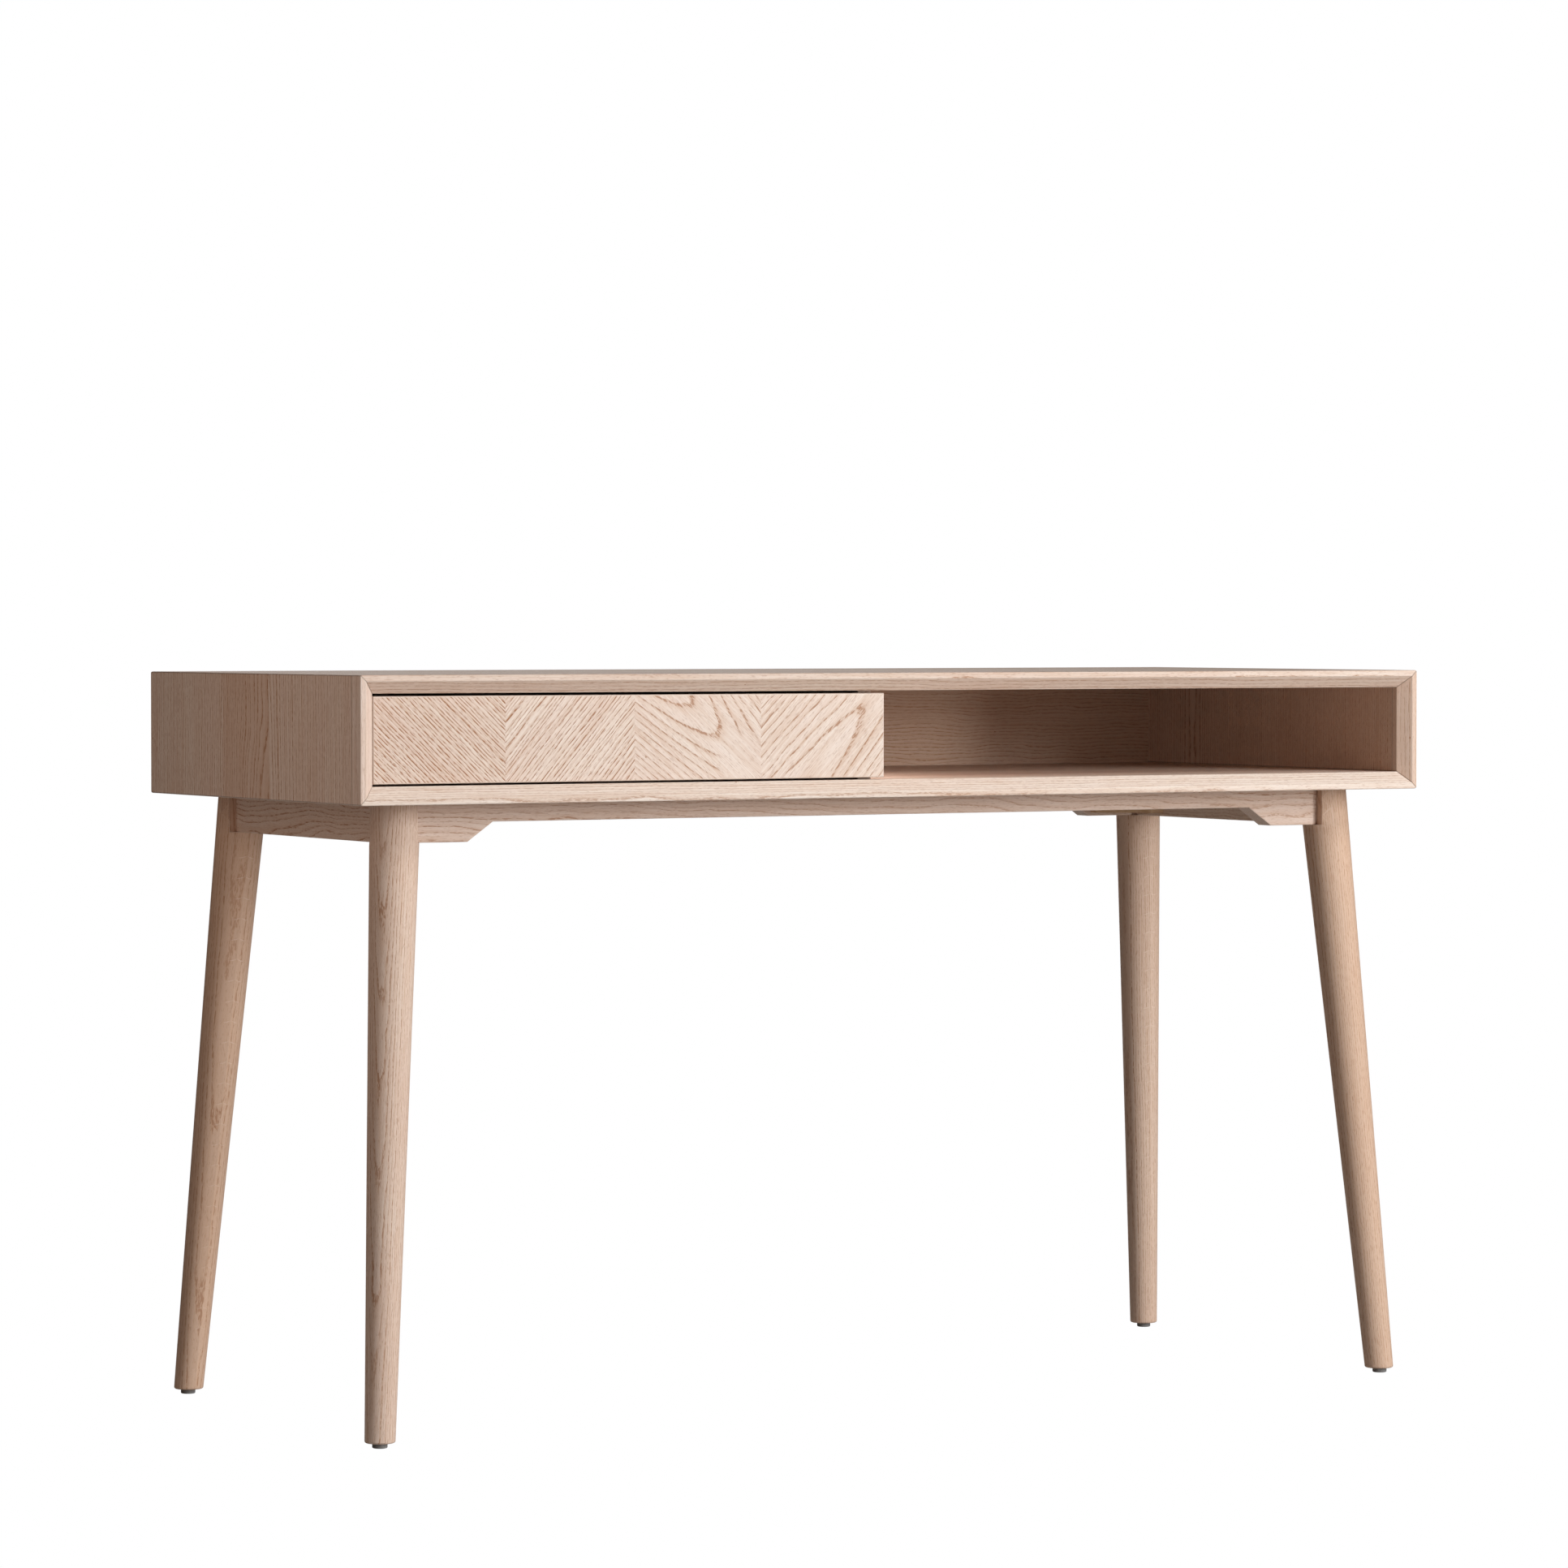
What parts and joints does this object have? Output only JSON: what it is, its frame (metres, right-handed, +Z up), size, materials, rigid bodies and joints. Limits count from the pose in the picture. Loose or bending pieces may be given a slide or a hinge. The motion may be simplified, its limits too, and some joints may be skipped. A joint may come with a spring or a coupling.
{
  "type": "writing desk with drawer",
  "caption": "Writing desk: a slim wooden case with a drawer and an open bay, on splayed, tapered legs with arched aprons.",
  "frame": {"origin": "middle of the footprint, on the floor", "axes": "+X to the right along the desk's length, +Y to the back, +Z up, as seen by someone sitting at the desk"},
  "size_m": [1.24, 0.51, 0.75],
  "materials": {
    "oak_case": "satin, open-pored oak veneer",
    "oak_lipping": "satin solid oak",
    "oak_drawer_front": "satin oak veneer, grain set in chevrons",
    "oak_frame": "satin solid oak",
    "birch_plywood": "clear matt lacquer",
    "beech": "unfinished",
    "zinc_plated_steel": "zinc plated, satin",
    "glide_plastic": "moulded grey plastic"
  },
  "bodies": {
    "desk": {"top_panel": "oak_case", "top_front_lipping": "oak_lipping", "bottom_panel": "oak_case", "bottom_front_lipping": "oak_lipping", "left_panel": "oak_case", "left_front_lipping": "oak_lipping", "right_panel": "oak_case", "right_front_lipping": "oak_lipping", "back_panel": "oak_case", "divider_panel": "oak_case", "mitre_splines": "birch_plywood", "left_slide_outer_rail": "zinc_plated_steel", "right_slide_outer_rail": "zinc_plated_steel", "slide_case_screws": "zinc_plated_steel", "front_left_leg": "oak_frame", "front_left_glide": "glide_plastic", "front_left_corner_block": "beech", "front_right_leg": "oak_frame", "front_right_glide": "glide_plastic", "front_right_corner_block": "beech", "back_left_leg": "oak_frame", "back_left_glide": "glide_plastic", "back_left_corner_block": "beech", "back_right_leg": "oak_frame", "back_right_glide": "glide_plastic", "back_right_corner_block": "beech", "front_apron": "oak_frame", "back_apron": "oak_frame", "left_apron": "oak_frame", "right_apron": "oak_frame", "leg_bolts": "zinc_plated_steel", "leg_bolt_washers": "zinc_plated_steel", "leg_bolt_nuts": "zinc_plated_steel", "corner_block_screws": "zinc_plated_steel", "frame_screws": "zinc_plated_steel", "apron_dowels": "beech"},
    "drawer": {"drawer_front": "oak_case", "drawer_front_leaf_1": "oak_drawer_front", "drawer_front_leaf_2": "oak_drawer_front", "drawer_front_leaf_3": "oak_drawer_front", "drawer_front_leaf_4": "oak_drawer_front", "drawer_left_side": "birch_plywood", "drawer_right_side": "birch_plywood", "drawer_sub_front": "birch_plywood", "drawer_back": "birch_plywood", "drawer_bottom": "birch_plywood", "drawer_front_screws": "zinc_plated_steel", "left_slide_inner_rail": "zinc_plated_steel", "right_slide_inner_rail": "zinc_plated_steel", "slide_drawer_screws": "zinc_plated_steel"},
    "left_slide_middle": {"left_slide_middle_rail": "zinc_plated_steel"},
    "right_slide_middle": {"right_slide_middle_rail": "zinc_plated_steel"}
  },
  "joints": [
    {"name": "drawer_slide", "type": "slide", "parent": "desk", "child": "drawer", "axis": [0, -1, 0], "range_m": [0, 0.4]},
    {"name": "left_slide_middle_travel", "type": "slide", "parent": "desk", "child": "left_slide_middle", "axis": [0, -1, 0], "range_m": [0, 0.2]},
    {"name": "right_slide_middle_travel", "type": "slide", "parent": "desk", "child": "right_slide_middle", "axis": [0, -1, 0], "range_m": [0, 0.2]}
  ],
  "couplings": [
    {"joint": "left_slide_middle_travel", "follows": "drawer_slide", "ratio": 0.5},
    {"joint": "right_slide_middle_travel", "follows": "drawer_slide", "ratio": 0.5}
  ]
}
